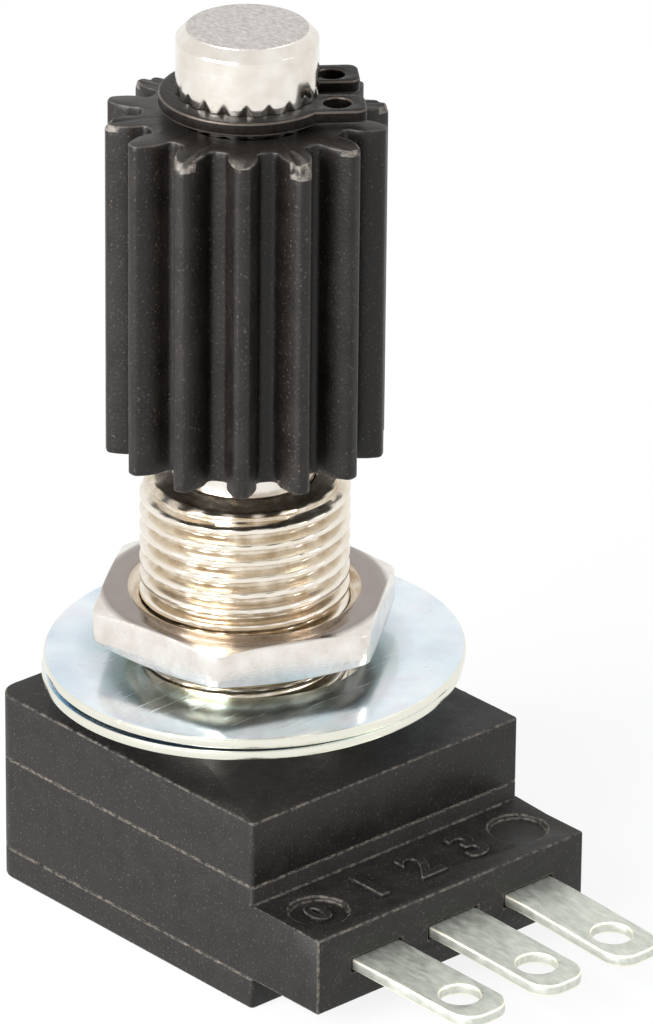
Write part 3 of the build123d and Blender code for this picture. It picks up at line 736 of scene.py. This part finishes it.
def half_tooth():
    """Points from the middle of the tip down one flank to the middle of the root."""
    half = half_sector / 2
    points = [(tip_radius, 0.0)]
    tip_half = half + involute(pitch_radius) - involute(tip_radius)
    crest = tip_radius - 0.1 * mm
    points += [(tip_radius, tip_half * 0.35), (tip_radius - 0.01 * mm, tip_half * 0.7),
               (tip_radius - 0.04 * mm, tip_half * 0.93)]
    for n in range(9):
        reach = crest + (base_radius - crest) * n / 8
        points.append((reach, half + involute(pitch_radius) - involute(reach)))
    flank = points[-1][1]
    for n in range(1, 6):
        t = n / 5 * math.pi / 2
        points.append((root_radius + root_fillet * (1 - math.sin(t)),
                       flank + root_fillet * (1 - math.cos(t)) / root_radius))
    last = points[-1][1]
    points += [(root_radius, last + (half_sector - last) * n / 3) for n in (1, 2, 3)]
    return points


half_outline = half_tooth()
outline = [(r, -a) for r, a in reversed(half_outline[1:])] + half_outline
outline = [Vector((r * math.cos(a), r * math.sin(a))) for r, a in outline]


def inset(points, amount):
    """The outline moved inwards, towards the gear's body."""
    moved = []
    for n, point in enumerate(points):
        if n in (0, len(points) - 1):
            moved.append(point * (1 - amount / point.length))
            continue
        along = (points[n + 1] - points[n - 1]).normalized()
        normal = Vector((-along.y, along.x))
        moved.append(point + normal * amount)
    return moved


def sector_mesh(rows):
    """One closed-skin sector: rows of outline, then the end faces and the bore."""
    bm = bmesh.new()
    low, high = pinion_low[2], pinion_high[2]
    last = len(outline) - 1
    angles = [half_sector * (2 * n / last - 1) for n in range(last + 1)]
    bore_points = [Vector((pinion_bore * math.cos(a), pinion_bore * math.sin(a))) for a in angles]
    inner = inset(outline, end_round)
    collar = [p.lerp(q, 0.5) for p, q in zip(inner, bore_points)]
    layers = [(bore_points, low), (collar, low), (inner, low),
              (inset(outline, 0.3 * end_round), low + 0.3 * end_round)]
    body_low, body_high = low + end_round, high - end_round
    layers += [(outline, body_low + (body_high - body_low) * n / rows) for n in range(rows + 1)]
    layers += [(inset(outline, 0.3 * end_round), high - 0.3 * end_round), (inner, high),
               (collar, high), (bore_points, high)]
    grid = [[bm.verts.new((p.x, p.y, z)) for p in points] for points, z in layers]
    for n in range(len(grid)):
        here, over = grid[n], grid[(n + 1) % len(grid)]
        for k in range(last):
            bm.faces.new((here[k], here[k + 1], over[k + 1], over[k]))
    mesh = bpy.data.meshes.new("sector")
    bm.to_mesh(mesh)
    bm.free()
    return mesh


gear_mesh = grown(sector_mesh(64), "gear_mesh", gear_tree, {
    "Count": tooth_count, "Turn": pinion_turn, "Seam": 0.004 * mm, "Material": black_nylon})

# %% [markdown]
# Chips are worked into the closed gear: near the top of a few teeth the corner is pressed in
# by an uneven amount from Blender's own noise, which is the same in every run, and the faces
# there are marked as worn.

# %% Chips on the tooth tops
chips = [
    # (angle of the tooth in degrees, how far down it reaches in mm, depth in mm)
    (226.7, 0.16, 0.07), (252.4, 0.75, 0.34), (278.1, 0.3, 0.12), (201.0, 0.5, 0.26),
    (98.1, 0.4, 0.2), (149.6, 0.3, 0.12), (329.5, 0.35, 0.14), (21.0, 0.3, 0.16),
]


def chips_near(point, spread, band):
    """How far down and how deep the chips are near a point in the outer band of the teeth."""
    if math.hypot(point.x, point.y) < tip_radius - band:
        return []
    bearing = math.degrees(math.atan2(point.y, point.x))
    return [(down * mm, depth * mm) for angle, down, depth in chips
            if abs((bearing - angle + 180) % 360 - 180) < spread]


chip_band, worn_band = 0.7 * mm, 0.55 * mm
chip_grain = 0.45 * mm
chip_gain = 1.4
bm = bmesh.new()
bm.from_mesh(gear_mesh)
bmesh.ops.recalc_face_normals(bm, faces=bm.faces)
worn_layer = bm.faces.layers.float.new("worn")
for vertex in bm.verts:
    place = vertex.co.copy()
    reach = math.hypot(place.x, place.y)
    unevenness = chip_gain * max(0.0, 0.5 + noise.noise(place / chip_grain))
    for chip_down, chip_depth in chips_near(place, 8, chip_band):
        depth_share = max(0.0, 1 - (pinion_high[2] - place.z) / chip_down)
        depth_share *= min(1.0, (reach - tip_radius + chip_band) / (0.5 * mm)) ** 2
        bite = chip_depth * depth_share * unevenness
        vertex.co -= Vector((bite * place.x / reach, bite * place.y / reach, 0.6 * bite))
for face in bm.faces:
    middle = face.calc_center_median()
    if any(pinion_high[2] - middle.z < down for down, _ in chips_near(middle, 7, worn_band)):
        face[worn_layer] = 1.0
bm.to_mesh(gear_mesh)
bm.free()
mark_edges(gear_mesh)
show(gear_mesh, "pinion_toothed", black_nylon, SPINDLE, ["pinion_gear"], sharp=38)

# %% [markdown]
# ## Flat stampings
# The retaining ring and the terminals are punched from sheet. A filled 2-D curve with a bevel
# is the direct way to draw them: outline and holes in one go, with the rounded punch side on
# every edge. The curve becomes a mesh before it is placed.

# %% Flat plates from 2-D curves
def plate(name, outlines, thickness, rounding):
    """Mesh of a flat plate in XY, z from 0 to its thickness, from closed outlines in metres."""
    curve = bpy.data.curves.new(name, "CURVE")
    curve.dimensions = "2D"
    curve.fill_mode = "BOTH"
    curve.extrude = thickness / 2 - rounding
    curve.bevel_depth = rounding
    curve.bevel_resolution = 2
    curve.offset = -rounding
    for points in outlines:
        spline = curve.splines.new("POLY")
        spline.points.add(len(points) - 1)
        for spot, (x, y) in zip(spline.points, points):
            spot.co = (x, y, 0, 1)
        spline.use_cyclic_u = True
    mesh = plain_mesh(placed(name, curve), name + "_mesh")
    bm = bmesh.new()
    bm.from_mesh(mesh)
    bmesh.ops.remove_doubles(bm, verts=bm.verts, dist=0.002 * mm)
    bmesh.ops.recalc_face_normals(bm, faces=bm.faces)
    bmesh.ops.translate(bm, verts=bm.verts, vec=(0, 0, thickness / 2))
    bm.to_mesh(mesh)
    bm.free()
    return mesh


def arc(x, y, radius, start, end, steps):
    """Points of an arc, angles in degrees."""
    return [(x + radius * math.cos(math.radians(start + (end - start) * n / steps)),
             y + radius * math.sin(math.radians(start + (end - start) * n / steps)))
            for n in range(steps + 1)]


# %% Retaining ring
ring_turn = math.radians(322.8)
ring_outer, ring_inner = 3.92 * mm, 2.89 * mm
lug_reach, lug_inside, lug_outside, lug_round = 5.1 * mm, 0.76 * mm, 2.75 * mm, 0.5 * mm
hole_x, hole_y, hole_radius = 3.84 * mm, 1.69 * mm, 0.63 * mm
ring_thick = ring_high[2] - ring_low[2]

shoulder = math.degrees(math.asin(lug_outside / ring_outer))
throat = math.degrees(math.asin(lug_inside / ring_inner))
lug_x = lug_reach - lug_round
ring_outline = arc(0, 0, ring_outer, shoulder, 360 - shoulder, 120)
ring_outline += arc(lug_x, -lug_outside + lug_round, lug_round, -90, 0, 8)
ring_outline += arc(lug_x, -lug_inside - lug_round, lug_round, 0, 90, 8)
ring_outline += arc(0, 0, ring_inner, 360 - throat, throat, 110)
ring_outline += arc(lug_x, lug_inside + lug_round, lug_round, -90, 0, 8)
ring_outline += arc(lug_x, lug_outside - lug_round, lug_round, 0, 90, 8)
ring_holes = [arc(hole_x, side * hole_y, hole_radius, 0, 350, 35) for side in (-1, 1)]
ring_mesh = plate("retaining_ring_plate", [ring_outline] + ring_holes, ring_thick, 0.11 * mm)
mark_edges(ring_mesh)
ring_mesh.transform(Matrix.Translation((0, 0, ring_low[2])) @ Matrix.Rotation(ring_turn, 4, "Z"))
show(ring_mesh, "retaining_ring_lugged", black_ring, SPINDLE, ["retaining_ring"])

# %% Three drooping terminals
terminal_width = 2.85 * mm
terminal_thick = 0.57 * mm
tip_round = 1.1 * mm
hole_from_tip, solder_hole = 2.05 * mm, 0.925 * mm
eyelet_reach, eyelet_hole = 7.25 * mm, 0.57 * mm
block_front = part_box("housing_body")[0][1]
bend_y = block_front - 1.2 * mm
droops = {"terminal_1": 0.3, "terminal_2": 1.5, "terminal_3": 3.0}

for name, droop in droops.items():
    low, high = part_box(name)
    middle_x = (low[0] + high[0]) / 2
    tip_y, root_y, wide = low[1], high[1], terminal_width / 2
    blade = [(-wide, root_y), (-wide, bend_y)]
    blade += arc(-wide + tip_round, tip_y + tip_round, tip_round, 180, 270, 12)
    blade += arc(wide - tip_round, tip_y + tip_round, tip_round, 270, 360, 12)
    blade += [(wide, bend_y), (wide, root_y)]
    holes = [arc(0, tip_y + hole_from_tip, solder_hole, 0, 352, 44),
             arc(0, -eyelet_reach, eyelet_hole, 0, 345, 23)]
    mesh = plate(name + "_plate", [blade] + holes, terminal_thick, 0.11 * mm)
    mark_edges(mesh)
    bm = bmesh.new()
    bm.from_mesh(mesh)
    bmesh.ops.bisect_plane(bm, geom=bm.verts[:] + bm.edges[:] + bm.faces[:], dist=1e-7,
                           plane_co=(0, bend_y, 0), plane_no=(0, 1, 0))
    for vertex in bm.verts:
        vertex.co.x += middle_x
        vertex.co.z += high[2] - terminal_thick
        if vertex.co.y < bend_y:
            vertex.co.z -= (bend_y - vertex.co.y) * math.tan(math.radians(droop))
    bm.to_mesh(mesh)
    bm.free()
    show(mesh, name + "_blade", tin_terminal, HOUSING, [name])

# %% [markdown]
# ## Housing
# The three moulded pieces are hollow, and their CAD shape is right but for its knife-sharp
# edges. A copy of each CAD mesh is merged and simplified, and its outer edges are bevelled.
# The new bevel faces carry the "edge" mask, so the flash line in the finish follows them.

# %% Moulded pieces with worn edges
hair = 0.01 * mm
back_corner_reach = 8.9 * mm  # only the rounded back corners lie this far from the shaft axis


def moulded_copy(node_name, bevel):
    """Merged copy of a CAD node with its outer edges bevelled and marked."""
    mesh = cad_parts[node_name].data.copy()
    mesh.name = node_name + "_moulded_mesh"
    bm = bmesh.new()
    bm.from_mesh(mesh)
    bmesh.ops.remove_doubles(bm, verts=bm.verts, dist=0.001 * mm)
    bmesh.ops.dissolve_limit(bm, angle_limit=math.radians(1), verts=bm.verts, edges=bm.edges)
    edge_layer = bm.faces.layers.float.new("edge")
    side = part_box(node_name)[1][0] - hair
    back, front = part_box("rear_cover")[1][1] - hair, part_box("rear_cover")[0][1] + hair

    def outside(vertex):
        x, y = abs(vertex.co.x), vertex.co.y
        return x > side or y > back or y < front or math.hypot(x, y) > back_corner_reach

    sharp = [edge for edge in bm.edges
             if len(edge.link_faces) == 2 and edge.calc_face_angle(0) > math.radians(40)
             and all(outside(vertex) for vertex in edge.verts)]
    made = bmesh.ops.bevel(bm, geom=sharp, offset=bevel, offset_type="OFFSET", segments=2,
                           profile=0.5, affect="EDGES", clamp_overlap=False)
    for face in made["faces"]:
        face[edge_layer] = 1.0
    bmesh.ops.recalc_face_normals(bm, faces=bm.faces)
    bm.to_mesh(mesh)
    bm.free()
    return mesh


for node_name in ("housing_cover", "housing_body", "rear_cover"):
    show(moulded_copy(node_name, 0.09 * mm), node_name + "_moulded", moulded_phenolic, HOUSING,
         [node_name], sharp=30)

# %% [markdown]
# ## Flash along the mould seams
# Where two moulded pieces meet, a ragged fin of flash stands a few hundredths of a millimetre
# proud. It follows the outline of the housing, so a geometry tree sweeps a small section
# along that outline, resamples it finely and lets seeded noise thin it out and fatten it.

# %% Geometry tree that lays flash along an outline
flash_tree, given = new_tree("lay_flash", {
    "Step": "Float", "Thickness": "Float", "Raggedness": "Float", "Seed": "Float",
    "Material": "Material"})
path = add(flash_tree, "GeometryNodeMeshToCurve", {0: given["Geometry"]})
fine = add(flash_tree, "GeometryNodeResampleCurve", {
    "Curve": path.outputs[0], "Length": given["Step"]}, mode="LENGTH")
ragged = add(flash_tree, "ShaderNodeTexNoise", {
    "Vector": add(flash_tree, "GeometryNodeInputPosition").outputs[0], "W": given["Seed"],
    "Scale": given["Raggedness"], "Detail": 3.0}, noise_dimensions="4D")
width = add(flash_tree, "ShaderNodeMapRange", {
    "Value": ragged.outputs[0], "From Min": 0.36, "From Max": 0.66, "To Min": 0.12})
size = formula(flash_tree, ("MULTIPLY", width.outputs[0], given["Thickness"]))
section = add(flash_tree, "GeometryNodeCurvePrimitiveCircle", {"Resolution": 6, "Radius": 1.0})
fin = add(flash_tree, "GeometryNodeCurveToMesh", {
    "Curve": fine.outputs[0], "Profile Curve": section.outputs[0], "Scale": size})
end_tree(flash_tree, fin.outputs[0], given["Material"])

# %% Flash at the two seams and the cover's rim
cover_low, cover_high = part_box("housing_cover")
body_low, base_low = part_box("housing_body")[0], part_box("rear_cover")[0]
corner_back, corner_front = 1.1 * mm, 0.2 * mm


def housing_outline(level, within):
    """Closed wire round the housing at a height, a little inside its faces."""
    wide, back, front = cover_high[0] - within, cover_high[1] - within, cover_low[1] + within
    points = arc(wide - corner_back, back - corner_back, corner_back, 0, 90, 8)
    points += arc(-wide + corner_back, back - corner_back, corner_back, 90, 180, 8)
    points += arc(-wide + corner_front, front + corner_front, corner_front, 180, 270, 3)
    points += arc(wide - corner_front, front + corner_front, corner_front, 270, 360, 3)
    mesh = bpy.data.meshes.new("outline")
    ends = [(n, (n + 1) % len(points)) for n in range(len(points))]
    mesh.from_pydata([(x, y, level) for x, y in points], ends, [])
    return mesh


seams = {
    # name: (height, distance inside the faces, thickness, seed)
    "flash_cover_seam": (cover_low[2], 0.02 * mm, 0.045 * mm, 1.0),
    "flash_base_seam": (body_low[2], 0.02 * mm, 0.04 * mm, 2.0),
    "flash_cover_rim": (cover_high[2] - 0.04 * mm, 0.045 * mm, 0.035 * mm, 3.0),
}
for name, (level, within, thickness, seed) in seams.items():
    mesh = grown(housing_outline(level, within), name + "_mesh", flash_tree, {
        "Step": 0.12 * mm, "Thickness": thickness, "Raggedness": 1 / (0.5 * mm), "Seed": seed,
        "Material": flash_phenolic})
    show(mesh, name, flash_phenolic, HOUSING, [])

# %% [markdown]
# ## Marks on the terminal block
# The mould leaves a round recess at each end of the block. Between them stand the numbers of
# the three terminals, and in one recess the number of the mould cavity. All are raised and
# rounded, drawn from a text object that becomes a mesh.

# %% Raised terminal numbers
block_top = -5.5 * mm
digit_size = 3.0 * mm
digit_y = (block_front + cover_low[1]) / 2
recess_floor = block_top - 0.25 * mm
digit_swell = 0.04 * mm
digit_relief = 0.06 * mm
digit_lift = 0.05 * mm
marks = [("1", -2.9, block_top, digit_size), ("2", 0.1, block_top, digit_size),
         ("3", 3.1, block_top, digit_size), ("0", -6.05, recess_floor, 1.9 * mm)]
for number, x, level, size in marks:
    text = bpy.data.curves.new("digit_" + number, "FONT")
    text.body = number
    text.size = size
    text.offset = digit_swell
    text.align_x, text.align_y = "CENTER", "CENTER"
    text.extrude = text.bevel_depth = digit_relief
    text.bevel_resolution = 1
    mesh = plain_mesh(placed("digit_" + number, text), "digit_" + number)
    mark_edges(mesh)
    mesh.transform(Matrix.Translation((x * mm, digit_y, level + digit_lift)))
    name = ("cavity_number_" if level < block_top else "terminal_number_") + number
    show(mesh, name, moulded_phenolic, HOUSING, [])

# %% [markdown]
# ## Floor, light and camera
# The part stands on a white sweep. The floor takes the shadow but shows white to the camera,
# and to glossy rays, so that the metal reflects the same white. A broad lamp at the left does
# most of the work, and a weaker one at the right opens the shadows.

# %% White floor and sky
def white_to_camera(tree):
    """Mask that is 1 for camera, glossy and transmission rays, which should meet white."""
    rays = add(tree, "ShaderNodeLightPath").outputs
    either = add(tree, "ShaderNodeMath", {0: rays["Is Camera Ray"], 1: rays["Is Glossy Ray"]},
                 operation="ADD").outputs[0]
    return add(tree, "ShaderNodeMath", {0: either, 1: rays["Is Transmission Ray"]},
               operation="ADD", use_clamp=True).outputs[0]


floor_half = 2.0
white_share = 0.85
sky_level = 0.55
corners = [(x * floor_half, y * floor_half, base_low[2])
           for x, y in ((-1, -1), (1, -1), (1, 1), (-1, 1))]
floor_mesh = bpy.data.meshes.new("floor")
floor_mesh.from_pydata(corners, [], [(0, 1, 2, 3)])
floor = placed("floor", floor_mesh)
white_paper = bpy.data.materials.new("white_paper")
white_paper.use_nodes = True
tree = white_paper.node_tree
tree.nodes.clear()
amount = add(tree, "ShaderNodeMath", {0: white_to_camera(tree), 1: white_share},
             operation="MULTIPLY")
matt = add(tree, "ShaderNodeBsdfDiffuse", {"Color": linear("#f4f4f4")})
glow = add(tree, "ShaderNodeEmission", {"Color": (1, 1, 1, 1), "Strength": 1.0})
both = add(tree, "ShaderNodeMixShader", {
    0: amount.outputs[0], 1: matt.outputs[0], 2: glow.outputs[0]})
add(tree, "ShaderNodeOutputMaterial", {"Surface": both.outputs[0]})
floor_mesh.materials.append(white_paper)

world = bpy.data.worlds.new("studio")
bpy.context.scene.world = world
world.use_nodes = True
tree = world.node_tree
tree.nodes.clear()
strength = add(tree, "ShaderNodeMapRange", {
    "Value": white_to_camera(tree), "To Min": sky_level, "To Max": 1.0}).outputs[0]
sky = add(tree, "ShaderNodeBackground", {"Color": (1, 1, 1, 1), "Strength": strength})
add(tree, "ShaderNodeOutputWorld", {"Surface": sky.outputs[0]})

# %% Lamps
aim = Vector((0, 0, 8 * mm))
lamps = {
    # name: (place in metres, size in metres, power in watts)
    "left_softbox": ((-0.32, -0.02, 0.12), 0.3, 3.1),
    "right_softbox": ((0.2, -0.34, 0.2), 0.22, 0.7),
}
for name, (place, size, power) in lamps.items():
    lamp = bpy.data.lights.new(name, "AREA")
    lamp.size = size
    lamp.energy = power
    holder = placed(name, lamp)
    holder.location = place
    holder.rotation_euler = (aim - Vector(place)).to_track_quat("-Z", "Y").to_euler()
print("lamps:", ", ".join(lamps))

# %% Camera
azimuth, elevation, roll = math.radians(-42.226), math.radians(25.235), math.radians(0.569)
distance = 367.574 * mm
target = Vector((2.7245, -2.4727, 7.975)) * mm
focal_length = 449.33679
lens = bpy.data.cameras.new("camera")
lens.sensor_fit = "HORIZONTAL"
lens.sensor_width = 36
lens.lens = focal_length
lens.clip_start, lens.clip_end = 0.01, 20
camera = placed("camera", lens)
camera.matrix_world = Matrix.Translation(target) @ Matrix.Rotation(azimuth, 4, "Z") @ \
    Matrix.Rotation(turn / 4 - elevation, 4, "X") @ Matrix.Rotation(roll, 4, "Z") @ \
    Matrix.Translation((0, 0, distance))
bpy.context.scene.camera = camera
bpy.context.scene.view_settings.view_transform = "Standard"
